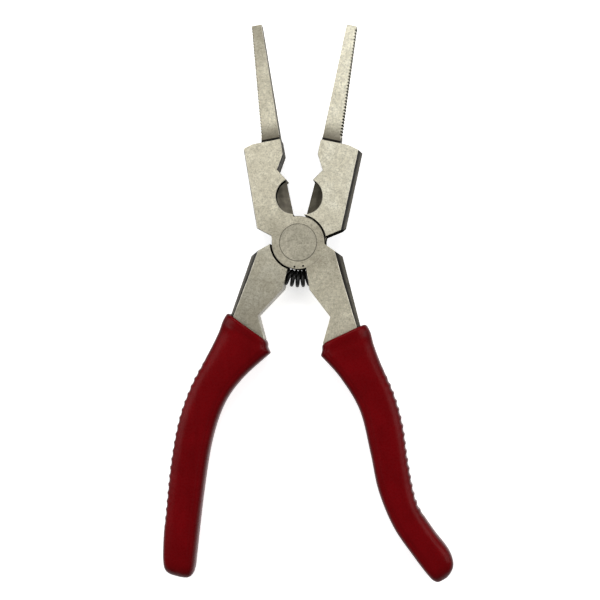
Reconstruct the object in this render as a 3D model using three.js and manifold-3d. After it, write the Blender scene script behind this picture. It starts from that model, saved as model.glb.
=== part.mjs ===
// Spring-opened long-nose welding pliers, lying on their back, in millimetres.
// Z is the thickness, the jaws point to +Y, and the origin is on the pivot axis at the back face.
// Each lever is drawn in its own "lever frame": closed, with its jaw left of the centre plane
// x = 0 and its handle right of it. The rear lever is a like forging turned over about Y.

import * as THREE from "three";
import { mergeVertices } from "three/addons/utils/BufferGeometryUtils.js";
import Module from "manifold-3d";

const wasm = await Module();
wasm.setup();

// ---- driving dimensions ---------------------------------------------------------------------

const THICKNESS = 11; // head and grips
const MIDDLE = THICKNESS / 2;
const FRONT_OPENING = 9.65; // degrees from the centre plane, with the spring at its free length
const REAR_OPENING = 12.35;

const DISC_RADIUS = 9.8; // lapped pivot disc, half the thickness of the head
const SEAT_RADIUS = 10.4; // hollow that the other lever's disc turns in
const LAP_GAP = 0.3; // between the two discs
const RIVET_HEAD = { radius: 6.8, depth: 2.6 };
const RIVET_TAIL = { radius: 6.2, depth: 1.8 };
const RIVET_SHANK_RADIUS = 4.7;
const RIVET_CLEARANCE = 0.2;
const PUNCH_MARKS = { radius: 0.4, depth: 0.3, at: [[-2.8, -8.6], [0.4, -8.9]] };

// Gaps are from a closed jaw to the centre plane: the tips meet first.
const NOSE_TIP = { y: 83.3, gap: 0.1, width: 3.9, thickness: 5 };
const NOSE_BASE = { gap: 0.4, width: 7.3, thickness: 7 };
const NOSE_FILLET = 3; // length of the hollow from the head's face down to the nose's
const HEAD = { top: 39, gap: 0.1, cornerX: 10.5, cornerY: 38 };
const HEAD_SHOULDER = { outerY: 7.8, innerX: 9.4, innerY: 4.3 };
const VEE = { top: 33.4, deepest: 28, depth: 3.2, bottom: 23.9, gap: 0.5 };
const HALF_ROUND = { offset: 1.35, y: 17.2, radius: 6.7 };
const CUTTER = { heelY: 10.4, heelGap: 0.35, toeY: 23.5, toeGap: 0.85 };
const CUTTER_WEB = { edge: 0.5, thickness: 3, bevel: 2 };

const SHANK_ROOT = [9.6, -2.3]; // where the handle's shoulder leaves the pivot disc
const SHANK_TAPER = { start: -6, bend: -13, end: -34, thickness: 7 };
const TANG_THICKNESS = 6;
const FIT_GAP = 0.3; // between the tang and its grip

const SPRING = { wire: 1.2, coilRadius: 2.35, arcRadius: 13.1, tail: 4.8, turns: 10 };
const POCKET = { radius: 3.35, depth: 5.4 };
const GRIP_ROUNDING = { height: 4.2, width: 3 };
const GRIP_STEPS = 3; // straight steps between two points of a grip's outline

// Head: half width at the face, and how far its edges flare by the middle plane. Shank: edges at
// the face, and their flare. Tang: [x, y, width] along its middle. Grip: its smooth outline from
// above the mouth, down the outer edge, round the butt and up to the finger guard, and then the
// corners of the notch above the guard.
const FRONT_LEVER = {
  headWidth: 14,
  headDraft: 0.8,
  inner: [[1.4, -10.4], [1.2, -17.9], [7, -29.1], [2.7, -38]],
  outer: [[12.8, -5.4], [15.7, -40]],
  shankDraft: 2.1,
  tang: [[9, -36, 11], [12.6, -46, 9.5], [17.7, -60, 8.5], [19.7, -75, 7.5], [19.7, -92, 6.5]],
  grip: [
    [16.4, -20], [19.9, -36.5], [22.3, -49], [25.4, -60.5], [26.7, -73], [26.3, -87],
    [26.9, -101.5], [30.8, -111.7], [35.3, -120.2], [36.1, -125.8], [33.5, -129.8],
    [29.7, -131.1], [26.3, -128.4], [22.4, -121], [16.8, -109], [13.6, -95], [13, -81],
    [11.8, -65], [6.9, -52.2], [0.9, -42.6],
  ],
  guardNotch: [[1.8, -40.7], [2.6, -30]],
  mouth: [[21.5, -33.1], [0, -38.9]],
};
const REAR_LEVER = {
  headWidth: 14.5,
  headDraft: 1.4,
  inner: [[1.9, -10.4], [2, -17.9], [9, -29.6], [4.9, -37.3]],
  outer: [[13.9, -6], [18.2, -40]],
  shankDraft: 2.4,
  tang: [[11.4, -35, 11], [14.8, -46, 9.5], [20.5, -60, 8.5], [23.2, -75, 7.5], [22.8, -92, 6.5]],
  grip: [
    [18.3, -18], [21.4, -34.5], [24.3, -46.5], [28.1, -59], [30.1, -72.5], [29.8, -88],
    [28.1, -104], [26.1, -118.5], [24.1, -127.6], [20.4, -131.1], [15.6, -131.1], [12.8, -127.4],
    [13, -120.5], [15.1, -100], [16.3, -80], [14.8, -65], [10.1, -53.8], [1.8, -42.2],
  ],
  guardNotch: [[3.2, -40.4], [5.8, -30]],
  mouth: [[23, -29.8], [1, -39.3]],
};

// ---- making solids --------------------------------------------------------------------------

const toPoints = (pairs) => pairs.map(([x, y]) => new THREE.Vector2(x, y));
const toShape = (pairs) => new THREE.Shape(toPoints(pairs));

function toSolid(geometry) {
  const bare = new THREE.BufferGeometry();
  bare.setAttribute("position", geometry.getAttribute("position"));
  bare.setIndex(geometry.getIndex());
  const merged = mergeVertices(bare, 1e-4);
  const mesh = new wasm.Mesh({
    numProp: 3,
    vertProperties: new Float32Array(merged.getAttribute("position").array),
    triVerts: new Uint32Array(merged.getIndex().array),
  });
  return new wasm.Manifold(mesh);
}

function toGeometry(solid) {
  const mesh = solid.getMesh();
  const geometry = new THREE.BufferGeometry();
  geometry.setAttribute("position", new THREE.BufferAttribute(mesh.vertProperties, 3));
  geometry.setIndex(new THREE.BufferAttribute(mesh.triVerts, 1));
  geometry.computeVertexNormals();
  return geometry;
}

// A straight prism of an XY shape between two heights.
function prism(shape, low = 0, high = THICKNESS) {
  const options = { depth: high - low, bevelEnabled: false, curveSegments: 16 };
  return toSolid(new THREE.ExtrudeGeometry(shape, options).translate(0, 0, low));
}

// A forging blank whose edges flare out by the draft from both faces to the middle plane.
function draftedBlank(pairs, draft) {
  const ridge = 0.4;
  const slope = MIDDLE - ridge / 2;
  const options = { depth: ridge, bevelThickness: slope, bevelSize: draft, bevelSegments: 1 };
  return toSolid(new THREE.ExtrudeGeometry(toShape(pairs), options).translate(0, 0, slope));
}

function disc(radius, low, high, [x, y] = [0, 0], sides = 64) {
  const cylinder = new THREE.CylinderGeometry(radius, radius, high - low, sides);
  return toSolid(cylinder.rotateX(Math.PI / 2).translate(x, y, (low + high) / 2));
}

// ---- rivet and spring -----------------------------------------------------------------------

// The rivet, or with a clearance the hole for it. Turned over, it suits the rear lever's frame.
function rivetSolid(clearance = 0, turnedOver = false) {
  const steps = [
    [RIVET_TAIL.radius, 0, RIVET_TAIL.depth],
    [RIVET_SHANK_RADIUS, 0, THICKNESS],
    [RIVET_HEAD.radius, THICKNESS - RIVET_HEAD.depth, THICKNESS],
  ];
  const discs = steps.map(([radius, bottom, top]) => {
    const low = (turnedOver ? THICKNESS - top : bottom) - clearance;
    const high = (turnedOver ? THICKNESS - bottom : top) + clearance;
    return disc(radius + clearance, low, high);
  });
  return discs.reduce((whole, step) => whole.add(step));
}

// Angle from straight down the centre plane to the flat that a lever's spring pocket is in.
const pocketAngle = (lever) =>
  Math.asin((lever.inner[0][0] + lever.inner[1][0]) / 2 / SPRING.arcRadius);

function springPocket(lever) {
  const angle = pocketAngle(lever);
  const length = 2 * POCKET.depth;
  const bore = new THREE.CylinderGeometry(POCKET.radius, POCKET.radius, length, 32);
  bore.rotateZ(Math.PI / 2).translate(0, -SPRING.arcRadius, MIDDLE).rotateZ(angle);
  return toSolid(bore);
}

// The wire coils round a line that follows an arc about the pivot and runs straight at its ends.
class SpringWire extends THREE.Curve {
  getPoint(t, target = new THREE.Vector3()) {
    const first = -THREE.MathUtils.degToRad(REAR_OPENING) - pocketAngle(REAR_LEVER);
    const last = THREE.MathUtils.degToRad(FRONT_OPENING) + pocketAngle(FRONT_LEVER);
    const arc = (last - first) * SPRING.arcRadius;
    const along = t * (arc + 2 * SPRING.tail) - SPRING.tail;
    const onArc = THREE.MathUtils.clamp(along, 0, arc);
    const past = along - onArc;
    const angle = first + onArc / SPRING.arcRadius;
    const turn = 2 * Math.PI * SPRING.turns * t;
    const radius = SPRING.arcRadius + SPRING.coilRadius * Math.cos(turn);
    return target.set(
      radius * Math.sin(angle) + past * Math.cos(angle),
      -radius * Math.cos(angle) + past * Math.sin(angle),
      MIDDLE + SPRING.coilRadius * Math.sin(turn),
    );
  }
}

function springGeometry() {
  const section = new THREE.Shape().absarc(0, 0, SPRING.wire / 2, 0, 2 * Math.PI);
  return new THREE.ExtrudeGeometry(section, {
    steps: 14 * SPRING.turns,
    curveSegments: 4,
    extrudePath: new SpringWire(),
  });
}

// ---- levers ---------------------------------------------------------------------------------

// Everything that a lever's thickness allows: a side profile in Y and Z, extruded along X.
function thicknessEnvelope() {
  const clear = MIDDLE + 1;
  const noseHalf = NOSE_BASE.thickness / 2;
  const taperHalf = SHANK_TAPER.thickness / 2;
  const noseBase = HEAD.top + NOSE_FILLET;
  const bendRun = SHANK_TAPER.bend - SHANK_TAPER.start;
  const slope = (MIDDLE - taperHalf) / (SHANK_TAPER.bend - SHANK_TAPER.end);
  const half = new THREE.Path();
  half.moveTo(NOSE_TIP.y, NOSE_TIP.thickness / 2);
  half.lineTo(noseBase, noseHalf);
  half.quadraticCurveTo(HEAD.top, noseHalf, HEAD.top, MIDDLE);
  half.lineTo(HEAD.top, clear);
  half.lineTo(SHANK_TAPER.start, clear);
  half.lineTo(SHANK_TAPER.start, MIDDLE);
  half.quadraticCurveTo(
    SHANK_TAPER.bend, MIDDLE, SHANK_TAPER.bend + bendRun, MIDDLE + slope * bendRun,
  );
  half.lineTo(SHANK_TAPER.end, taperHalf);
  half.lineTo(2 * SHANK_TAPER.end, taperHalf);
  const front = half.getPoints(5);
  const back = front.map((p) => new THREE.Vector2(p.x, -p.y)).reverse();
  const length = 100;
  const geometry = new THREE.ExtrudeGeometry(new THREE.Shape([...front, ...back]), {
    depth: length,
    bevelEnabled: false,
  });
  const yzToWorld = new THREE.Matrix4().makeBasis(
    new THREE.Vector3(0, 1, 0), new THREE.Vector3(0, 0, 1), new THREE.Vector3(1, 0, 0),
  );
  return toSolid(geometry.applyMatrix4(yzToWorld).translate(-length / 2, 0, MIDDLE));
}

// A jaw's outline from above: the nose, the V and half-round notches, the head and its shoulders.
function jawOutline(lever) {
  const { offset, y, radius } = HALF_ROUND;
  const topAngle = Math.atan2(Math.sqrt(radius ** 2 - (offset + VEE.gap) ** 2), -offset - VEE.gap);
  const footAngle = Math.atan2(-Math.sqrt(radius ** 2 - (offset + HEAD.gap) ** 2), -offset - HEAD.gap);
  const { outerY, innerX, innerY } = HEAD_SHOULDER;
  const width = lever.headWidth;
  const far = 2 * width;
  const shoulderSlope = (outerY - innerY) / (width - innerX);
  const cornerSlope = (HEAD.top - HEAD.cornerY) / (width - HEAD.cornerX);
  const shape = new THREE.Shape();
  shape.moveTo(-NOSE_TIP.gap, NOSE_TIP.y);
  shape.lineTo(-NOSE_BASE.gap, HEAD.top);
  shape.lineTo(-HEAD.gap, HEAD.top);
  shape.lineTo(-HEAD.gap, VEE.top);
  shape.lineTo(-VEE.depth, VEE.deepest);
  shape.lineTo(-VEE.gap, VEE.bottom);
  shape.absarc(offset, y, radius, topAngle, 2 * Math.PI + footAngle);
  shape.lineTo(-HEAD.gap, 0);
  shape.lineTo(-innerX, 0);
  shape.lineTo(-innerX, innerY);
  shape.lineTo(-far, innerY + shoulderSlope * (far - innerX));
  shape.lineTo(-far, HEAD.cornerY - cornerSlope * (far - width));
  shape.lineTo(-HEAD.cornerX, HEAD.top);
  shape.lineTo(-NOSE_BASE.width, HEAD.top);
  shape.lineTo(-NOSE_TIP.width, NOSE_TIP.y);
  return shape;
}

// The cutting web that half fills the half-round notch, thinned to an edge along the jaw's face.
function cutterWeb() {
  const { edge, thickness, bevel } = CUTTER_WEB;
  const root = -HALF_ROUND.radius;
  const section = toShape([
    [0, -edge / 2], [0, edge / 2], [-bevel, thickness / 2], [root, thickness / 2],
    [root, -thickness / 2], [-bevel, -thickness / 2],
  ]);
  const rise = CUTTER.toeY - CUTTER.heelY;
  const lean = Math.atan2(CUTTER.toeGap - CUTTER.heelGap, rise);
  const options = { depth: rise / Math.cos(lean), bevelEnabled: false };
  const geometry = new THREE.ExtrudeGeometry(section, options);
  geometry.rotateX(-Math.PI / 2).rotateZ(lean);
  return toSolid(geometry.translate(-CUTTER.heelGap, CUTTER.heelY, MIDDLE));
}

function jawSolid(lever) {
  const right = 2;
  const block = (left, top) => [[right, 0], [right, top], [left, top], [left, 0]];
  const head = draftedBlank(block(-lever.headWidth, HEAD.top), lever.headDraft);
  const nose = prism(toShape(block(-NOSE_BASE.width - 1, NOSE_TIP.y + 1)));
  return head.add(nose).intersect(prism(jawOutline(lever))).add(cutterWeb());
}

function shankSolid(lever) {
  const [[vertexX, vertexY], [endX, endY]] = lever.outer;
  const [rootX, rootY] = SHANK_ROOT;
  const past = 2;
  const blank = draftedBlank(
    [[-past, 0], [rootX, 0], [vertexX, rootY], [vertexX, vertexY], [endX, endY], [-past, endY]],
    lever.shankDraft,
  );
  const [mouthX] = lever.inner.at(-1);
  const trim = toShape([
    [lever.inner[0][0], 0], [rootX, 0], [rootX, rootY],
    [rootX + past * (vertexX - rootX), rootY + past * (vertexY - rootY)], [past * endX, endY],
    [mouthX, endY], ...lever.inner.toReversed(),
  ]);
  return blank.intersect(prism(trim));
}

// A flat band along a smooth line, with its width changing evenly from point to point.
function bandSolid(stations, low, high, grow = 0) {
  const middle = new THREE.SplineCurve(toPoints(stations));
  const widths = new THREE.SplineCurve(stations.map(([, , width]) => new THREE.Vector2(width, 0)));
  const steps = 16;
  const left = [];
  const right = [];
  for (let i = 0; i <= steps; i += 1) {
    const t = i / steps;
    const tangent = middle.getTangent(t);
    const normal = new THREE.Vector2(-tangent.y, tangent.x);
    const half = widths.getPoint(t).x / 2 + grow;
    const centre = middle.getPoint(t).addScaledVector(tangent, i === steps ? grow : 0);
    left.push(centre.clone().addScaledVector(normal, half));
    right.unshift(centre.clone().addScaledVector(normal, -half));
  }
  return prism(new THREE.Shape([...left, ...right]), low - grow, high + grow);
}

const tangSolid = (lever, grow) =>
  bandSolid(lever.tang, MIDDLE - TANG_THICKNESS / 2, MIDDLE + TANG_THICKNESS / 2, grow);

function leverGeometry(lever, turnedOver) {
  const lapHeight = MIDDLE + LAP_GAP / 2;
  let solid = jawSolid(lever)
    .add(shankSolid(lever))
    .intersect(thicknessEnvelope())
    .add(tangSolid(lever))
    .subtract(disc(SEAT_RADIUS, -1, lapHeight))
    .add(disc(DISC_RADIUS, lapHeight, THICKNESS))
    .subtract(rivetSolid(RIVET_CLEARANCE, turnedOver))
    .subtract(springPocket(lever));
  for (const place of PUNCH_MARKS.at) {
    const { radius, depth } = PUNCH_MARKS;
    solid = solid.subtract(disc(radius, THICKNESS - depth, THICKNESS + depth, place, 8));
  }
  return toGeometry(solid);
}

// ---- grips ----------------------------------------------------------------------------------

// The hollow in a grip's mouth that takes the end of the shank.
function shankSocket(lever) {
  const [mouthX, mouthY] = lever.inner.at(-1);
  const [[topX, topY], [endX, endY]] = lever.outer;
  const half = SHANK_TAPER.thickness / 2 + FIT_GAP;
  const outset = lever.shankDraft + FIT_GAP;
  const inset = mouthX - FIT_GAP;
  const outline = toShape([
    [topX + outset, topY], [endX + outset, endY - FIT_GAP], [inset, endY - FIT_GAP],
    [inset, mouthY], [inset + 2, mouthY + 6], [inset - 2, mouthY + 12],
  ]);
  return prism(outline, MIDDLE - half, MIDDLE + half);
}

function gripGeometry(lever) {
  const steps = GRIP_STEPS * (lever.grip.length - 1);
  const edge = new THREE.SplineCurve(toPoints(lever.grip)).getPoints(steps);
  const outline = new THREE.Shape([...edge, ...toPoints(lever.guardNotch)]);
  const { height, width } = GRIP_ROUNDING;
  const blank = new THREE.ExtrudeGeometry(outline, {
    depth: THICKNESS - 2 * height,
    bevelThickness: height,
    bevelSize: width,
    bevelOffset: -width,
    bevelSegments: 4,
  });
  const belowMouth = prism(toShape([...lever.mouth, [-20, -160], [60, -160]]));
  const grip = toSolid(blank.translate(0, 0, height))
    .intersect(belowMouth)
    .subtract(shankSocket(lever))
    .subtract(tangSolid(lever, FIT_GAP));
  return toGeometry(grip);
}

// ---- assembly -------------------------------------------------------------------------------

const steel = (color) => new THREE.MeshStandardMaterial({ color, roughness: 0.45, metalness: 1 });
const forgedSteel = steel(0xb8b2a2);
const rivetSteel = steel(0xaea897);
const springSteel = steel(0x1a1a1a);
const redVinyl = new THREE.MeshStandardMaterial({ color: 0x7d0a12, roughness: 0.42 });

function named(name, geometry, material) {
  const mesh = new THREE.Mesh(geometry, material);
  mesh.name = name;
  return mesh;
}

const frontHalf = new THREE.Group();
frontHalf.rotation.z = THREE.MathUtils.degToRad(FRONT_OPENING);
frontHalf.add(named("front_lever", leverGeometry(FRONT_LEVER, false), forgedSteel));
frontHalf.add(named("right_grip", gripGeometry(FRONT_LEVER), redVinyl));
frontHalf.add(named("pivot_rivet", toGeometry(rivetSolid()), rivetSteel));

const turnedOver = new THREE.Group();
turnedOver.rotation.y = Math.PI;
turnedOver.position.z = THICKNESS;
turnedOver.add(named("rear_lever", leverGeometry(REAR_LEVER, true), forgedSteel));
turnedOver.add(named("left_grip", gripGeometry(REAR_LEVER), redVinyl));

const rearHalf = new THREE.Group();
rearHalf.rotation.z = THREE.MathUtils.degToRad(-REAR_OPENING);
rearHalf.add(turnedOver);

const pliers = new THREE.Group();
pliers.add(frontHalf, rearHalf);
pliers.add(named("return_spring", springGeometry(), springSteel));

export default pliers;
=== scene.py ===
"""Spring-opened pliers with dipped vinyl grips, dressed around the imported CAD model, in metres.

The frame is the CAD's: +Z is the pivot axis, the jaws point to +Y, and the pliers lie on z = 0.
Each lever's own frame has the lever closed, with its jaw left of x = 0 and its handle right of it.
"""

import math

import bmesh
import bpy
from mathutils import Matrix, Vector
from mathutils.geometry import delaunay_2d_cdt


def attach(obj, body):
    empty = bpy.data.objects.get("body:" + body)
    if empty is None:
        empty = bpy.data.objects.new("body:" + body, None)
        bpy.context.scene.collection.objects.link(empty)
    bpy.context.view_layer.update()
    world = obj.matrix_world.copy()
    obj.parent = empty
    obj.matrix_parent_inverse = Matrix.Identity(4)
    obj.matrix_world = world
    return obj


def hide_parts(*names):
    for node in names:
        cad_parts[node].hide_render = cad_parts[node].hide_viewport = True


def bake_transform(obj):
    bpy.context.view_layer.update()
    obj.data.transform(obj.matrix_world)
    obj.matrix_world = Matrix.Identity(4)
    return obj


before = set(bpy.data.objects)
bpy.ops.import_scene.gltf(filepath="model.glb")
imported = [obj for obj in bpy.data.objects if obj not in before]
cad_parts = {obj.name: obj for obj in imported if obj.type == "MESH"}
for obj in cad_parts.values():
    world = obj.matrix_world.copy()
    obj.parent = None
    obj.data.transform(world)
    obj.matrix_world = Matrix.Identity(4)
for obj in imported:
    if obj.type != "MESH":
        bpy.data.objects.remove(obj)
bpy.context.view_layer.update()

# ---- dimensions ---------------------------------------------------------------------------------

THICKNESS = 0.011
MIDDLE = THICKNESS / 2
FRONT_OPENING = math.radians(9.65)
REAR_OPENING = math.radians(12.35)

DISC_RADIUS = 0.0098
SEAT_RADIUS = 0.0104
PIVOT_SHADOW_RADIUS = 0.0108  # the walls nearer to the pivot than this are dark
PUNCH_MARKS = ((-0.0028, -0.0086), (0.0004, -0.0089))  # in a lever's frame
PUNCH_MARK_REACH = 0.0005  # a little more than the radius of a mark
NOTCH_CENTRE = (0.00135, 0.0172)  # of the half-round notch, in a lever's frame
NOTCH_REACH = 0.0069  # a little more than the radius of the notch
WEB_REACH = 0.0025  # from the middle: in the notch, only the web's faces are as near as this
SHOULDER_TOP = 0.009  # height above the pivot to which the head's lower side is in shadow
SHANK_TOP = -0.0099  # where a handle's ground inner side begins

EDGE_WEAR = 0.00016
WORN_FROM = 0.011  # edges nearer to the pivot than this stay sharp
SHARP_ANGLE = math.radians(22)
NOSE_SIDE = ((-0.0073, 0.039), (-0.0039, 0.0833))  # outer side of a nose, in a lever's frame
NOSE_ROOT_SHADE = (0.0391, 0.0395, 0.0475)  # where the painted shade at a nose's root begins, is darkest and ends
NOSE_TEETH = {
    "count": 35, "first_y": 0.0425, "pitch": 0.00116, "width": 0.001044,
    "least_depth": 0.0001, "slope": 0.15,
}

RIVET_RADIUS = 0.00696
RIVET_TAIL_RADIUS = 0.0062
RIVET_SHANK_RADIUS = 0.0047
RIVET_SHANK_ENDS = (0.0018, 0.0084)
RIVET_CHAMFER = 0.00026
RIVET_SIDES = 96

SPRING_WIRE_RADIUS = 0.00068
SPRING_WIRE_SIDES = 12
SPRING_COIL_RADIUS = 0.00229
SPRING_ARC_RADIUS = 0.0129
SPRING_BULGE = 0.0003  # how much larger the coils are half way along
SPRING_TAIL = 0.0048
SPRING_TURNS = 10
SPRING_STEPS = 36  # in a turn
SPRING_FIRST = -math.radians(20.9)  # where the arc between the spring pockets begins and ends,
SPRING_LAST = math.radians(15.35)  # as angles about the pivot from straight down

GRIP_STEP = 0.00045  # between two rings of a grip
GRIP_SIDES = 96
GRIP_SQUARENESS = 3.4  # exponent of the superellipse section
GRIP_CREASE = {"inset": 0.0025, "depth": 0.00025, "width": 0.0004}  # beside a face's inner edge
CREASE_ENDS = {"mouth": (0.001, 0.003), "butt": (0.006, 0.006)}  # (length left plain, fade)
GRIP_COLLAR = {"height": 0.0005, "at": 0.0035, "width": 0.003}  # swelling of the mouth's outer edge
GRIP_HOLLOW = {"depth": 0.00035, "at": 0.0042, "width": 0.0018}  # dip across the face by the mouth
LEAST_HALF_SIZE = 0.0001  # half width and half height that a grip's end rings keep
LIP_RADIUS = 0.0011
BUTT_RADIUS = 0.0062
END_STEPS = (0.06, 0.16, 0.3, 0.5, 0.75)  # places of the rings on a grip's lip and butt
RIDGE_PITCH = 0.00315
RIDGE_HEIGHT = 0.0004
RIDGE_FADE = 0.006
SHANK_HALF_HEIGHT = 0.0036
SHANK_SQUARENESS = 5.0
MOUTH_RINGS = ((0.003, 0.0001), (0.0004, 0.0002))  # (how far down the mouth, gap to the shank)

# Each grip's outline in its lever's frame: smooth from the mouth down the outer edge, round the
# butt and up to the finger guard, then straight along the notch to the mouth. "tip" is the place
# on the smooth part, counted in points, where outer and inner edge meet. "hole" is the shank's
# inner and outer edge at the mouth, and "ridges" the stretch of outer edge with ridges.
FRONT_GRIP = {
    "smooth": [
        (0.0193, -0.0337), (0.0203, -0.0385), (0.0223, -0.0490), (0.0254, -0.0605),
        (0.0267, -0.0730), (0.0263, -0.0870), (0.0269, -0.1015), (0.0308, -0.1117),
        (0.0353, -0.1202), (0.0361, -0.1258), (0.0335, -0.1298), (0.0303, -0.1312),
        (0.0284, -0.1309), (0.0265, -0.1286), (0.0224, -0.1210), (0.0168, -0.1090),
        (0.0136, -0.0950), (0.0130, -0.0810), (0.0118, -0.0650), (0.0069, -0.0522),
        (0.0009, -0.0426),
    ],
    "notch": [(0.0018, -0.0407), (0.0021, -0.0384)],
    "tip": 10.4,
    "hole": [(0.0172, -0.0343), (0.0027, -0.0381)],
    "ridges": (0.018, 0.076),
}
REAR_GRIP = {
    "smooth": [
        (0.0206, -0.0309), (0.0216, -0.0355), (0.0243, -0.0465), (0.0281, -0.0590),
        (0.0301, -0.0725), (0.0298, -0.0880), (0.0281, -0.1040), (0.0261, -0.1185),
        (0.0244, -0.1266), (0.0228, -0.1300), (0.0199, -0.1311), (0.0158, -0.1311),
        (0.0132, -0.1300), (0.0124, -0.1270), (0.0130, -0.1205), (0.0151, -0.1000),
        (0.0163, -0.0800), (0.0148, -0.0650), (0.0101, -0.0538), (0.0018, -0.0422),
    ],
    "notch": [(0.0032, -0.0404), (0.0038, -0.0381)],
    "tip": 10.5,
    "hole": [(0.0196, -0.0315), (0.0050, -0.0376)],
    "ridges": (0.018, 0.086),
}

# Painted light and shade on a lever's faces, as brightness against the brightest steel, along the
# lever.
FRONT_PAINTED_SHADING = [
    (-0.045, 0.66), (-0.02, 0.80), (-0.008, 0.58), (0.004, 0.60), (0.014, 0.90), (0.036, 0.98),
    (0.05, 0.93), (0.065, 0.80), (0.083, 0.52),
]
REAR_PAINTED_SHADING = [
    (-0.045, 0.30), (-0.03, 0.38), (-0.015, 0.50), (0.0, 0.66), (0.012, 0.84), (0.045, 0.87),
    (0.07, 0.98), (0.083, 1.0),
]

CAMERA_TARGET = Vector((0.00055, -0.0212, 0.009))
CAMERA_DISTANCE = 0.45
CAMERA_SIDE = math.radians(5.5)  # to the right of straight above
CAMERA_FOOT = math.radians(1.5)  # towards the grips
CAMERA_SENSOR = 0.036
VIEW_WIDTH = 0.222  # what the picture spans at the target

FLOOR_SIZE = 4.0
FLOOR_GAP = 0.00005

front_frame = Matrix.Rotation(FRONT_OPENING, 4, "Z")
turned_over = Matrix.Translation((0, 0, THICKNESS)) @ Matrix.Rotation(math.pi, 4, "Y")
rear_frame = Matrix.Rotation(-REAR_OPENING, 4, "Z") @ turned_over


# ---- meshes -------------------------------------------------------------------------------------


def new_object(name, mesh):
    obj = bpy.data.objects.new(name, mesh)
    bpy.context.scene.collection.objects.link(obj)
    return obj


def mesh_object(name, vertices, faces):
    mesh = bpy.data.meshes.new(name)
    mesh.from_pydata(vertices, [], faces)
    mesh.polygons.foreach_set("use_smooth", [True] * len(mesh.polygons))
    return new_object(name, mesh)


def apply_modifiers(obj):
    """Puts the result of obj's modifiers into its mesh."""
    graph = bpy.context.evaluated_depsgraph_get()
    mesh = bpy.data.meshes.new_from_object(obj.evaluated_get(graph))
    obj.modifiers.clear()
    obj.data = mesh


def face_outwards(mesh):
    bm = bmesh.new()
    bm.from_mesh(mesh)
    bmesh.ops.recalc_face_normals(bm, faces=bm.faces)
    bm.to_mesh(mesh)
    bm.free()


def ring_surface(rings):
    """Vertices and faces of a closed skin over rings of points, with a fan over each end."""
    sides = len(rings[0])
    vertices = [point for ring in rings for point in ring]
    faces = []
    for i in range(len(rings) - 1):
        for j in range(sides):
            k = (j + 1) % sides
            faces.append((i * sides + j, i * sides + k, (i + 1) * sides + k, (i + 1) * sides + j))
    for ring, first, turn in ((rings[0], 0, -1), (rings[-1], (len(rings) - 1) * sides, 1)):
        centre = len(vertices)
        vertices.append(sum(ring, Vector()) / sides)
        for j in range(sides):
            edge = (first + j, first + (j + 1) % sides)
            faces.append((*edge[::turn], centre))
    return vertices, faces


def lathe_rings(profile, sides):
    """Rings about the pivot axis for a profile of (radius, height) points."""
    angles = [2 * math.pi * i / sides for i in range(sides)]
    return [
        [Vector((radius * math.cos(a), radius * math.sin(a), z)) for a in angles]
        for radius, z in profile
    ]


# ---- materials ----------------------------------------------------------------------------------


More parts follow.
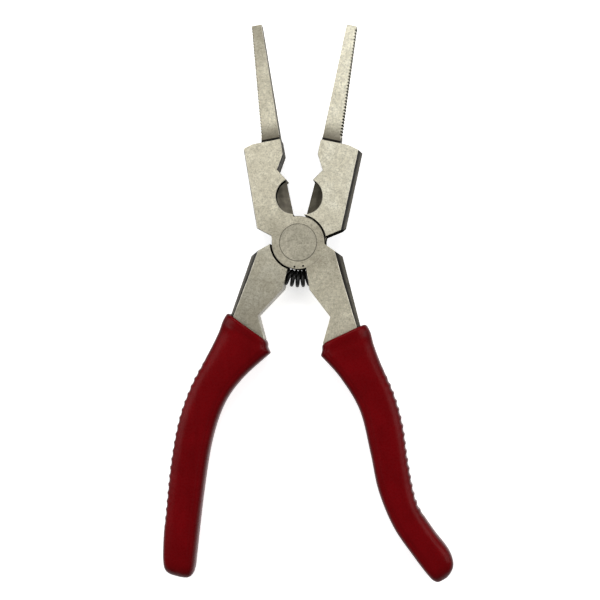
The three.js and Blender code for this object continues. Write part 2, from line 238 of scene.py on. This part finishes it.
class Nodes:
    """A material's node tree, with short calls for the nodes used here."""

    def __init__(self, name):
        self.material = bpy.data.materials.new(name)
        self.material.use_nodes = True
        self.tree = self.material.node_tree
        self.shader = self.tree.nodes["Principled BSDF"]
        self.position = self.tree.nodes.new("ShaderNodeTexCoord").outputs["Object"]

    def link(self, value, socket):
        if isinstance(value, bpy.types.NodeSocket):
            self.tree.links.new(value, socket)
        else:
            socket.default_value = value

    def node(self, kind, inputs, output=0, **settings):
        made = self.tree.nodes.new(kind)
        for key, value in settings.items():
            setattr(made, key, value)
        for key, value in inputs.items():
            self.link(value, made.inputs[key])
        return made.outputs[output]

    def noise(self, size, detail=3.0, stretch=(1, 1, 1), roughness=0.55):
        """Noise from 0 to 1 whose largest features are about size metres across."""
        scaled = self.node(
            "ShaderNodeMapping", {"Vector": self.position, "Scale": tuple(s / size for s in stretch)}
        )
        inputs = {"Vector": scaled, "Scale": 1.0, "Detail": detail, "Roughness": roughness}
        return self.node("ShaderNodeTexNoise", inputs)

    def ramp(self, value, low, high, out_low=0.0, out_high=1.0):
        """value from low to high, mapped smoothly from out_low to out_high."""
        inputs = {
            "Value": value, "From Min": low, "From Max": high, "To Min": out_low, "To Max": out_high,
        }
        return self.node("ShaderNodeMapRange", inputs, interpolation_type="SMOOTHSTEP")

    def mix(self, factor, first, second):
        return self.node(
            "ShaderNodeMix",
            {"Factor": factor, 6: self.colour(first), 7: self.colour(second)},
            output=2,
            data_type="RGBA",
        )

    def colour(self, value):
        return value if isinstance(value, bpy.types.NodeSocket) else (*value, 1.0)

    def maths(self, operation, first, second=0.0):
        return self.node("ShaderNodeMath", {0: first, 1: second}, operation=operation)

    def height_from_middle(self):
        height = self.node("ShaderNodeSeparateXYZ", {0: self.position}, output="Z")
        return self.maths("ABSOLUTE", self.maths("SUBTRACT", height, MIDDLE))

    def along(self, direction):
        """Distance from the origin along a direction."""
        inputs = {0: self.position, 1: direction}
        return self.node("ShaderNodeVectorMath", inputs, output="Value", operation="DOT_PRODUCT")

    def profile(self, value, stops):
        """Brightness read from (place, brightness) stops as value runs from the first to the last."""
        start, end = stops[0][0], stops[-1][0]
        share = self.node(
            "ShaderNodeMapRange", {"Value": value, "From Min": start, "From Max": end}
        )
        made = self.tree.nodes.new("ShaderNodeValToRGB")
        self.link(share, made.inputs[0])
        elements = made.color_ramp.elements
        for place, _ in stops[1:-1]:
            elements.new((place - start) / (end - start))
        for element, (_, brightness) in zip(elements, stops):
            element.color = (brightness, brightness, brightness, 1.0)
        return made.outputs["Color"]

    def above(self, value, limit):
        return self.maths("GREATER_THAN", value, limit)

    def bump(self, height, distance, strength=1.0, below=None):
        inputs = {"Height": height, "Distance": distance, "Strength": strength}
        if below is not None:
            inputs["Normal"] = below
        return self.node("ShaderNodeBump", inputs)

    def finish(self, colour, roughness, normal, metallic=0.0, **constants):
        self.link(self.colour(colour), self.shader.inputs["Base Color"])
        self.link(roughness, self.shader.inputs["Roughness"])
        self.link(normal, self.shader.inputs["Normal"])
        self.shader.inputs["Metallic"].default_value = metallic
        for key, value in constants.items():
            self.shader.inputs[key].default_value = value
        return self.material


def face_steel(name, light, dark, lever_y, painted_shading):
    """Satin forged face, finely mottled, with light and shade painted along the lever and shade
    painted into a nose's root.
    """
    n = Nodes(name)
    patches = n.noise(0.006, detail=4)
    mottle = n.noise(0.0013, detail=5, roughness=0.75)
    grain = n.noise(0.0006, detail=3, roughness=0.7)
    tone = n.mix(n.ramp(patches, 0.35, 0.68), dark, light)
    mottled = n.mix(n.ramp(mottle, 0.36, 0.60, 0.0, 0.45), tone, tuple(0.5 * c for c in dark))
    speckled = n.mix(n.ramp(grain, 0.46, 0.68, 0.0, 0.55), mottled, tuple(0.35 * c for c in dark))
    along = n.along(lever_y)
    # Painted shade in the hollow at the root of a nose, where the nose meets the head.
    root_start, root_darkest, root_end = NOSE_ROOT_SHADE
    past_head = n.above(along, root_start)
    root_shade_mask = n.maths("MULTIPLY", n.ramp(along, root_darkest, root_end, 0.95, 0.0), past_head)
    root_shaded = n.mix(root_shade_mask, speckled, (0.10, 0.085, 0.055))
    # painted light and shade along the lever, darkening towards a near black brown
    shaded = n.mix(n.profile(along, painted_shading), (0.05, 0.036, 0.014), root_shaded)
    roughness = n.ramp(mottle, 0.3, 0.7, 0.5, 0.68)
    waves = n.bump(patches, 0.0004, 0.4)
    dents = n.bump(mottle, 0.00008, 0.7, waves)
    return n.finish(shaded, roughness, n.bump(grain, 0.00003, 0.6, dents), metallic=0.35)


def forging_skin(name, light, dark, shine=0.05):
    """Dark scale left on the drafted sides, with painted shade making it blackest right beside the
    ground faces.
    """
    n = Nodes(name)
    from_middle = n.height_from_middle()
    blotches = n.noise(0.003, detail=5)
    tone = n.mix(n.ramp(blotches, 0.35, 0.65), dark, light)
    # painted shade on the sides right beside the ground faces
    shade_beside_face = n.ramp(from_middle, 0.0016, 0.0038)
    shaded = n.mix(shade_beside_face, tone, tuple(0.2 * c for c in dark))
    normal = n.bump(n.noise(0.0007, detail=5), 0.00012, 0.8)
    roughness = n.ramp(blotches, 0.3, 0.7, 0.55, 0.75)
    return n.finish(shaded, roughness, normal, **{"Specular IOR Level": shine})


def worn_edge(name, colour, metallic=0.8):
    """Steel rubbed or ground bright, in broken stretches."""
    n = Nodes(name)
    rubbed = n.ramp(n.noise(0.004, detail=4), 0.40, 0.60)
    tone = n.mix(rubbed, tuple(0.62 * c for c in colour), colour)
    return n.finish(tone, 0.38, n.bump(n.noise(0.0005), 0.00004), metallic)


def spring_steel():
    n = Nodes("black_spring_steel")
    streaks = n.noise(0.0015, detail=3)
    tone = n.mix(n.ramp(streaks, 0.45, 0.75), (0.006, 0.006, 0.006), (0.022, 0.021, 0.02))
    normal = n.bump(n.noise(0.0003), 0.00002)
    return n.finish(tone, n.ramp(streaks, 0.3, 0.7, 0.34, 0.5), normal, 0.3)


def dipped_vinyl():
    """Dark red vinyl with painted shade on the sides: cloudy, softly glossy, with fine peel and draw
    lines.
    """
    n = Nodes("dark_red_vinyl")
    clouds = n.noise(0.012, detail=3)
    draws = n.noise(0.004, detail=3, stretch=(1.0, 0.12, 1.0))
    peel = n.noise(0.0009, detail=2)
    tone = n.mix(n.ramp(clouds, 0.3, 0.7), (0.120, 0.0010, 0.0022), (0.150, 0.0014, 0.0030))
    drawn = n.mix(n.ramp(draws, 0.45, 0.8, 0.0, 0.35), tone, (0.085, 0.0006, 0.0014))
    # painted shade on the sides of the grip
    shade_on_sides = n.ramp(n.height_from_middle(), 0.0034, 0.0052, 0.6, 0.0)
    shaded = n.mix(shade_on_sides, drawn, (0.03, 0.0002, 0.0010))
    roughness = n.ramp(peel, 0.3, 0.7, 0.24, 0.34)
    waves = n.bump(draws, 0.00025, 0.5)
    normal = n.bump(peel, 0.00004, 0.6, waves)
    return n.finish(shaded, roughness, normal, **{"IOR": 1.48, "Specular IOR Level": 0.06})


# ---- levers -------------------------------------------------------------------------------------

# The finishes of a lever, as places in its list of materials: flat faces, drafted sides, rubbed
# edges, cutting web, gaps and recesses with their walls painted dark as shade, and the handle's
# ground inner side.
FACE, SKIN, EDGE, WEB, GAP, INNER = range(6)


def kind_of(face, lever_frame):
    """Which finish or painted shade a face of a lever has, from where it lies in the lever's own
    frame.
    """
    to_lever = lever_frame.inverted()
    centre = to_lever @ face.calc_center_median()
    facing = to_lever.to_3x3() @ face.normal
    in_notch = centre.x < 0.0 and (centre.xy - Vector(NOTCH_CENTRE)).length < NOTCH_REACH
    if in_notch and abs(centre.z - MIDDLE) < WEB_REACH:
        return WEB
    # the punch marks are painted dark as shade in their dimples
    if any((centre.xy - Vector(mark)).length < PUNCH_MARK_REACH for mark in PUNCH_MARKS):
        return GAP
    if abs(face.normal.z) > 0.9:
        return FACE
    # the walls of the notch, under the head's shoulder and round the pivot are painted in shadow
    under_shoulder = 0.0 < centre.y < SHOULDER_TOP and facing.y < -0.3
    if in_notch or under_shoulder or centre.xy.length < PIVOT_SHADOW_RADIUS:
        return GAP
    return INNER if facing.x < -0.2 and centre.y < SHANK_TOP else SKIN


def teeth_cutter(lever_frame):
    """A row of V-shaped blades across a nose's outer side, which cut deepest along both faces."""
    base, tip = (Vector((x, y, 0)) for x, y in NOSE_SIDE)
    along = (tip - base).normalized()
    outward = Vector((-along.y, along.x, 0))
    spread = along * NOSE_TEETH["width"] / 2
    proud = outward * 0.00004
    reach = MIDDLE + 0.001
    vertices = []
    faces = []
    for i in range(NOSE_TEETH["count"]):
        middle = base + along * (NOSE_TEETH["first_y"] - base.y + i * NOSE_TEETH["pitch"])
        first = len(vertices)
        for height in (-reach, 0.0, reach):
            depth = NOSE_TEETH["least_depth"] + NOSE_TEETH["slope"] * abs(height)
            corners = [middle - outward * depth, middle + proud + spread, middle + proud - spread]
            vertices += [lever_frame @ Vector((c.x, c.y, MIDDLE + height)) for c in corners]
        faces += [(first, first + 1, first + 2), (first + 8, first + 7, first + 6)]
        for a, b in ((0, 2), (2, 1), (1, 0)):
            for low in (first, first + 3):
                faces.append((low + a, low + b, low + b + 3, low + a + 3))
    obj = mesh_object("teeth_cutter", vertices, faces)
    face_outwards(obj.data)
    return obj


def flat_patches(faces):
    """Groups of joined faces that lie in one plane."""
    left = dict.fromkeys(faces)
    patches = []
    while left:
        patch = [left.popitem()[0]]
        for face in patch:  # which grows as its neighbours are found
            for other in [near for edge in face.edges for near in edge.link_faces]:
                if other in left and other.normal.dot(face.normal) > 0.9999:
                    del left[other]
                    patch.append(other)
        patches.append(patch)
    return patches


def inside(point, lines):
    """Whether a point is inside an outline given as pairs of points, by counting crossings."""
    crossings = 0
    for a, b in lines:
        if (a.y > point.y) != (b.y > point.y):
            crossings += point.x < a.x + (point.y - a.y) * (b.x - a.x) / (b.y - a.y)
    return crossings % 2 == 1


def refill(bm, patch, normal):
    """Fills a flat patch afresh inside its rim, since insetting may have folded its polygons."""
    rim = [edge for face in patch for edge in face.edges]
    rim = [edge for edge in rim if sum(face in patch for face in edge.link_faces) == 1]
    vertices = list(dict.fromkeys(vertex for edge in rim for vertex in edge.verts))
    places = {vertex: i for i, vertex in enumerate(vertices)}
    pairs = [tuple(places[vertex] for vertex in edge.verts) for edge in rim]
    lines = [tuple(vertex.co.xy for vertex in edge.verts) for edge in rim]
    bmesh.ops.delete(bm, geom=patch, context="FACES")
    corners = [vertex.co.xy for vertex in vertices]
    points, _, triangles, origins, *_ = delaunay_2d_cdt(corners, pairs, [], 0, 1e-8)
    turn = 1 if normal.z > 0 else -1
    for triangle in triangles:
        middle = sum((points[i] for i in triangle), Vector((0, 0))) / 3
        if inside(middle, lines):
            filled = bm.faces.new([vertices[origins[i][0]] for i in triangle[::turn]])
            filled.material_index = FACE


def wear_edges(bm):
    """Chamfers the faces' rims away from the pivot: faces are inset, and their old rims pushed in."""
    faces = [face for face in bm.faces if face.material_index == FACE]
    patches = [(patch, patch[0].normal.copy()) for patch in flat_patches(faces)]
    rims = bmesh.ops.inset_region(
        bm, faces=faces, thickness=EDGE_WEAR, use_even_offset=False, use_boundary=True
    )["faces"]
    for patch, normal in patches:
        if len(patch) > 1:
            refill(bm, patch, normal)
    pushes = {}
    for rim in rims:
        for vertex in rim.verts:
            walls = [face for face in vertex.link_faces if face.material_index != FACE]
            walls = [wall for wall in walls if wall not in rims]
            away = vertex.co.xy.length > WORN_FROM
            if walls and away and min(height_of(wall) for wall in walls) > 3 * EDGE_WEAR:
                pushes[vertex] = -math.copysign(EDGE_WEAR, rim.normal.z)
    for rim in rims:
        pushed = sum(vertex in pushes for vertex in rim.verts)
        from_pivot = rim.calc_center_median().xy.length
        if pushed > 1:
            rim.material_index = EDGE
        elif DISC_RADIUS - EDGE_WEAR < from_pivot < DISC_RADIUS:
            rim.material_index = INNER
        # the seat's rim is painted as shade, widening the dark gap round the disc
        elif SEAT_RADIUS < from_pivot < SEAT_RADIUS + EDGE_WEAR:
            rim.material_index = GAP
        else:
            rim.material_index = FACE
    for vertex, push in pushes.items():
        vertex.co.z += push
    for vertex in bm.verts:
        vertex.co.z = min(max(vertex.co.z, 0.0), THICKNESS)


def height_of(face):
    heights = [vertex.co.z for vertex in face.verts]
    return max(heights) - min(heights)


def welded_lever_mesh(node, lever_frame):
    """The CAD lever as one clean mesh, with a material for each kind of face and worn edges."""
    bm = bmesh.new()
    bm.from_mesh(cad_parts[node].data)
    bmesh.ops.remove_doubles(bm, verts=bm.verts, dist=2e-6)
    bmesh.ops.dissolve_limit(
        bm, angle_limit=math.radians(1.0), verts=bm.verts, edges=bm.edges, delimit={"NORMAL"}
    )
    for face in bm.faces:
        face.material_index = kind_of(face, lever_frame)
    wear_edges(bm)
    mesh = bpy.data.meshes.new(node)
    bm.to_mesh(mesh)
    bm.free()
    return mesh


def fine_lever(name, node, body, lever_frame, materials):
    obj = new_object(name, welded_lever_mesh(node, lever_frame))
    for material in materials:
        obj.data.materials.append(material)
    cutter = teeth_cutter(lever_frame)
    # the notches of the teeth take the gap material: painted shade in them
    cutter.data.materials.append(materials[GAP])
    teeth = obj.modifiers.new("nose_teeth", "BOOLEAN")
    teeth.object = cutter
    teeth.operation = "DIFFERENCE"
    teeth.solver = "EXACT"
    teeth.material_mode = "TRANSFER"
    apply_modifiers(obj)
    bpy.data.objects.remove(cutter)
    for face in obj.data.polygons:
        on_ground_face = min(face.center.z, THICKNESS - face.center.z) <= 0.0001
        face.use_smooth = not on_ground_face
    obj.data.set_sharp_from_angle(angle=SHARP_ANGLE)
    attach(obj, body)
    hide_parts(node)


# ---- rivet and spring ---------------------------------------------------------------------------


def rivet(material):
    chamfer = RIVET_CHAMFER
    bottom, top = RIVET_SHANK_ENDS
    profile = [
        (RIVET_TAIL_RADIUS * 0.5, 0.0),
        (RIVET_TAIL_RADIUS - chamfer, 0.0),
        (RIVET_TAIL_RADIUS, chamfer),
        (RIVET_TAIL_RADIUS, bottom),
        (RIVET_SHANK_RADIUS, bottom),
        (RIVET_SHANK_RADIUS, top),
        (RIVET_RADIUS, top),
        (RIVET_RADIUS, THICKNESS - chamfer),
        (RIVET_RADIUS - chamfer, THICKNESS),
        (RIVET_RADIUS * 0.5, THICKNESS),
    ]
    obj = mesh_object("rivet_fine", *ring_surface(lathe_rings(profile, RIVET_SIDES)))
    obj.data.set_sharp_from_angle(angle=math.radians(30))
    obj.data.materials.append(material)
    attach(obj, "front")
    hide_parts("pivot_rivet")


def spring_point(t):
    """Centre of the wire, for t from 0 at the rear lever's end to 1 at the front lever's end."""
    arc = (SPRING_LAST - SPRING_FIRST) * SPRING_ARC_RADIUS
    along = t * (arc + 2 * SPRING_TAIL) - SPRING_TAIL
    on_arc = min(max(along, 0.0), arc)
    past = along - on_arc
    angle = SPRING_FIRST + on_arc / SPRING_ARC_RADIUS
    turn = 2 * math.pi * SPRING_TURNS * t
    bulge = SPRING_BULGE * math.sin(math.pi * t)
    radius = SPRING_ARC_RADIUS + bulge + (SPRING_COIL_RADIUS + bulge) * math.cos(turn)
    return Vector((
        radius * math.sin(angle) + past * math.cos(angle),
        -radius * math.cos(angle) + past * math.sin(angle),
        MIDDLE + SPRING_COIL_RADIUS * math.sin(turn),
    ))


def spring(material):
    steps = SPRING_STEPS * SPRING_TURNS
    arc_middle = (SPRING_FIRST + SPRING_LAST) / 2
    coil_axis = Vector((math.cos(arc_middle), math.sin(arc_middle), 0))
    rings = []
    for i in range(steps + 1):
        t = i / steps
        centre = spring_point(t)
        tangent = (spring_point(t + 0.0005) - spring_point(t - 0.0005)).normalized()
        across = tangent.cross(coil_axis).normalized()
        other = tangent.cross(across)
        ring = []
        for j in range(SPRING_WIRE_SIDES):
            a = 2 * math.pi * j / SPRING_WIRE_SIDES
            ring.append(centre + SPRING_WIRE_RADIUS * (across * math.cos(a) + other * math.sin(a)))
        rings.append(ring)
    obj = mesh_object("return_spring_fine", *ring_surface(rings))
    obj.data.materials.append(material)
    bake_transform(obj)
    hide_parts("return_spring")


# ---- grips --------------------------------------------------------------------------------------


def catmull_rom(points, at):
    """Point of a Catmull-Rom curve through points, at a place counted in points."""
    i = min(int(at), len(points) - 2)
    t = at - i
    before = points[max(i - 1, 0)]
    first, second = points[i], points[i + 1]
    after = points[min(i + 2, len(points) - 1)]
    leaving = (second - before) / 2
    arriving = (after - first) / 2
    return (
        first
        + leaving * t
        + (3 * (second - first) - 2 * leaving - arriving) * t**2
        + (2 * (first - second) + leaving + arriving) * t**3
    )


class Path:
    """A line through many points that can be read by its length."""

    def __init__(self, points):
        self.points = points
        self.lengths = [0.0]
        for a, b in zip(points, points[1:]):
            self.lengths.append(self.lengths[-1] + (b - a).length)
        self.length = self.lengths[-1]

    def at(self, distance):
        distance = min(max(distance, 0.0), self.length)
        i = 1
        while self.lengths[i] < distance:
            i += 1
        share = (distance - self.lengths[i - 1]) / (self.lengths[i] - self.lengths[i - 1])
        return self.points[i - 1].lerp(self.points[i], share)


def grip_edges(spec):
    """The outer and the inner edge of a grip as paths from its mouth to its butt."""
    corners = [Vector((x, y, 0)) for x, y in spec["smooth"]]
    last = len(corners) - 1
    per_point = 24

    def stretch(first, second):
        steps = round((second - first) * per_point)
        return [catmull_rom(corners, first + (second - first) * i / steps) for i in range(steps + 1)]

    outer = stretch(0, spec["tip"])
    guard = [Vector((x, y, 0)) for x, y in spec["notch"]]
    inner = (stretch(spec["tip"], last) + guard)[::-1]
    return Path(outer), Path(inner)


def superellipse(angle, squareness):
    def part(value):
        return math.copysign(abs(value) ** (2 / squareness), value)

    return part(math.cos(angle)), part(math.sin(angle))


def rounding(distance, radius):
    """How far a quarter round of that radius is cut in, at a distance from its start."""
    left = 1 - min(distance / radius, 1.0)
    return radius * (1 - math.sqrt(1 - left**2))


def ridge(distance, stretch):
    """Height of the finger ridges on the outer edge, which fade in and out along a stretch."""
    start, end = stretch
    if not start < distance < end:
        return 0.0
    fade = min(1.0, (distance - start) / RIDGE_FADE, (end - distance) / RIDGE_FADE)
    wave = 0.5 + 0.5 * math.cos(2 * math.pi * (distance - start) / RIDGE_PITCH)
    return RIDGE_HEIGHT * fade * (wave**2 - 1.0)


def swell(distance, shape, size):
    """A smooth bump in a grip at a distance from its mouth."""
    return shape[size] * math.exp(-(((distance - shape["at"]) / shape["width"]) ** 2))


def faded(distance, plain, fade):
    """0 as far as plain, and rising from there to 1 over the length of the fade."""
    return min(1.0, max(0.0, distance - plain) / fade)


def crease(from_edge, from_mouth, from_tip):
    """Depth of the crease beside a face's inner edge, which fades out at the mouth and the butt."""
    fade = min(faded(from_mouth, *CREASE_ENDS["mouth"]), faded(from_tip, *CREASE_ENDS["butt"]))
    across = (from_edge - GRIP_CREASE["inset"]) / GRIP_CREASE["width"]
    return GRIP_CREASE["depth"] * fade * math.exp(-(across**2))


def ring_distances(length):
    """Distances of the rings from the mouth, closer together at the lip and the butt."""
    lip = [LIP_RADIUS * place for place in (0.0, *END_STEPS)]
    butt = [length - BUTT_RADIUS * place**1.5 * 0.5 for place in END_STEPS[::-1]]
    steps = round((butt[0] - LIP_RADIUS) / GRIP_STEP)
    middle = [LIP_RADIUS + (butt[0] - LIP_RADIUS) * i / steps for i in range(steps)]
    return lip + middle + butt


def grip_ring(spec, outer, inner, distance):
    share = distance / outer.length
    a, b = outer.at(distance), inner.at(share * inner.length)
    tip = outer.at(outer.length)
    across = (a - b).normalized()
    centre = (a + b) / 2
    cut = rounding(distance, LIP_RADIUS)
    half_width = max((a - b).length / 2 - cut, LEAST_HALF_SIZE)
    to_tip = (centre - tip).length
    half_height = MIDDLE - rounding(to_tip, BUTT_RADIUS) * MIDDLE / BUTT_RADIUS - cut
    outward = ridge(distance, spec["ridges"]) + swell(distance, GRIP_COLLAR, "height")
    hollow = swell(distance, GRIP_HOLLOW, "depth")
    ring = []
    for j in range(GRIP_SIDES):
        angle = 2 * math.pi * j / GRIP_SIDES
        u, v = superellipse(angle, GRIP_SQUARENESS)
        on_side = max(0.0, math.cos(angle)) ** 3
        x = u * half_width + outward * on_side
        point = centre + across * x
        sunk = hollow + crease(half_width + x, distance, to_tip)
        height = max(half_height - sunk, LEAST_HALF_SIZE)
        ring.append(Vector((point.x, point.y, MIDDLE + v * height)))
    return ring


def mouth_ring(spec, down, gap):
    """A ring round the shank in a grip's mouth, a little way down its hollow."""
    a, b = (Vector((x, y, 0)) for x, y in spec["hole"])
    across = (a - b).normalized()
    into_grip = Vector((across.y, -across.x, 0))
    centre = (a + b) / 2 + into_grip * down
    half_width = (a - b).length / 2 + gap
    half_height = SHANK_HALF_HEIGHT + gap
    ring = []
    for j in range(GRIP_SIDES):
        u, v = superellipse(2 * math.pi * j / GRIP_SIDES, SHANK_SQUARENESS)
        point = centre + across * (u * half_width)
        ring.append(Vector((point.x, point.y, MIDDLE + v * half_height)))
    return ring


def fine_grip(name, node, body, lever_frame, spec, material):
    outer, inner = grip_edges(spec)
    rings = [mouth_ring(spec, down, gap) for down, gap in MOUTH_RINGS]
    rings += [grip_ring(spec, outer, inner, d) for d in ring_distances(outer.length)]
    vertices, faces = ring_surface([[lever_frame @ p for p in ring] for ring in rings])
    obj = mesh_object(name, vertices, faces)
    face_outwards(obj.data)
    obj.data.materials.append(material)
    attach(obj, body)
    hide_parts(node)


# ---- stage, lights and camera -------------------------------------------------------------------


def floor():
    half = FLOOR_SIZE / 2
    square = ((-half, -half), (half, -half), (half, half), (-half, half))
    corners = [(x, y, -FLOOR_GAP) for x, y in square]
    obj = mesh_object("floor", corners, [(0, 1, 2, 3)])
    n = Nodes("pale_floor")
    tone = n.mix(n.ramp(n.noise(0.4), 0.3, 0.7), (0.88, 0.88, 0.88), (0.9, 0.9, 0.9))
    glow = {"Emission Color": (1, 1, 1, 1), "Emission Strength": 0.65}
    obj.data.materials.append(n.finish(tone, 0.9, n.bump(n.noise(0.002), 0.00001, 0.2), **glow))


def area_light(name, location, size, power, target=(0, 0, 0)):
    light = bpy.data.lights.new(name, "AREA")
    light.shape = "RECTANGLE"
    light.size, light.size_y = size
    light.energy = power
    obj = new_object(name, light)
    obj.location = location
    aim = Vector(target) - Vector(location)
    obj.rotation_euler = aim.to_track_quat("-Z", "Y").to_euler()


def surroundings():
    world = bpy.data.worlds.new("studio")
    world.use_nodes = True
    background = world.node_tree.nodes["Background"]
    background.inputs["Color"].default_value = (1.0, 1.0, 1.0, 1.0)
    background.inputs["Strength"].default_value = 0.25
    bpy.context.scene.world = world


def camera():
    side = math.sin(CAMERA_SIDE) * math.cos(CAMERA_FOOT)
    towards = Vector((side, -math.sin(CAMERA_FOOT), math.cos(CAMERA_SIDE) * math.cos(CAMERA_FOOT)))
    right = Vector((0, 1, 0)).cross(towards).normalized()
    up = towards.cross(right)
    data = bpy.data.cameras.new("camera")
    data.sensor_width = CAMERA_SENSOR * 1000
    data.lens = CAMERA_SENSOR * CAMERA_DISTANCE / VIEW_WIDTH * 1000
    obj = new_object("camera", data)
    rotation = Matrix((right, up, towards)).transposed().to_4x4()
    obj.matrix_world = Matrix.Translation(CAMERA_TARGET + towards * CAMERA_DISTANCE) @ rotation
    bpy.context.scene.camera = obj


# ---- the scene ----------------------------------------------------------------------------------

front_y = front_frame.to_3x3() @ Vector((0, 1, 0))
rear_y = rear_frame.to_3x3() @ Vector((0, 1, 0))
# Lit and shaded copies of one steel: the rear lever's painted lighter, each with painted light and
# shade along it.
front_face_lit_and_shaded = face_steel(
    "front_lever_face_lit_and_shaded", (0.88, 0.83, 0.65), (0.74, 0.69, 0.53), front_y, FRONT_PAINTED_SHADING
)
rear_face_lit_and_shaded = face_steel(
    "rear_lever_face_lit_and_shaded", (1.0, 0.96, 0.78), (0.88, 0.83, 0.65), rear_y, REAR_PAINTED_SHADING
)
rivet_face = face_steel(
    "rivet_face", (0.54, 0.50, 0.39), (0.45, 0.42, 0.32), front_y, [(-0.01, 1.0), (0.01, 1.0)]
)
skin = forging_skin("forging_skin", (0.100, 0.092, 0.075), (0.055, 0.049, 0.039))
edge = worn_edge("worn_edge", (0.74, 0.70, 0.58))
inner = worn_edge("ground_inner_side", (0.30, 0.278, 0.213), metallic=0.1)
# near black: painted shade for the gaps, recesses, marks and teeth
gap = forging_skin("gap_painted_shade", (0.012, 0.011, 0.009), (0.006, 0.0055, 0.0045), shine=0.0)
# Lit and shaded copies of the cutter web's forging skin: painted lighter on the front lever, darker
# on the rear.
front_web_lit = forging_skin("front_cutter_skin_lit", (0.20, 0.18, 0.14), (0.13, 0.117, 0.09))
rear_web_shaded = forging_skin("rear_cutter_skin_shaded", (0.11, 0.10, 0.075), (0.07, 0.062, 0.045))

fine_lever(
    "front_lever_fine", "front_lever", "front", front_frame,
    [front_face_lit_and_shaded, skin, edge, front_web_lit, gap, inner],
)
fine_lever(
    "rear_lever_fine", "rear_lever", "rear", rear_frame,
    [rear_face_lit_and_shaded, skin, edge, rear_web_shaded, gap, inner],
)
rivet(rivet_face)
spring(spring_steel())
vinyl = dipped_vinyl()
fine_grip("right_grip_fine", "right_grip", "front", front_frame, FRONT_GRIP, vinyl)
fine_grip("left_grip_fine", "left_grip", "rear", rear_frame, REAR_GRIP, vinyl)

floor()
surroundings()
area_light("top_light", (0.0, 0.62, 0.5), (0.7, 0.3), 3.3)
area_light("left_light", (-0.62, 0.05, 0.45), (0.3, 0.7), 2.7)
area_light("right_light", (0.62, 0.05, 0.45), (0.3, 0.7), 2.7)
camera()
bpy.context.scene.view_settings.view_transform = "Standard"
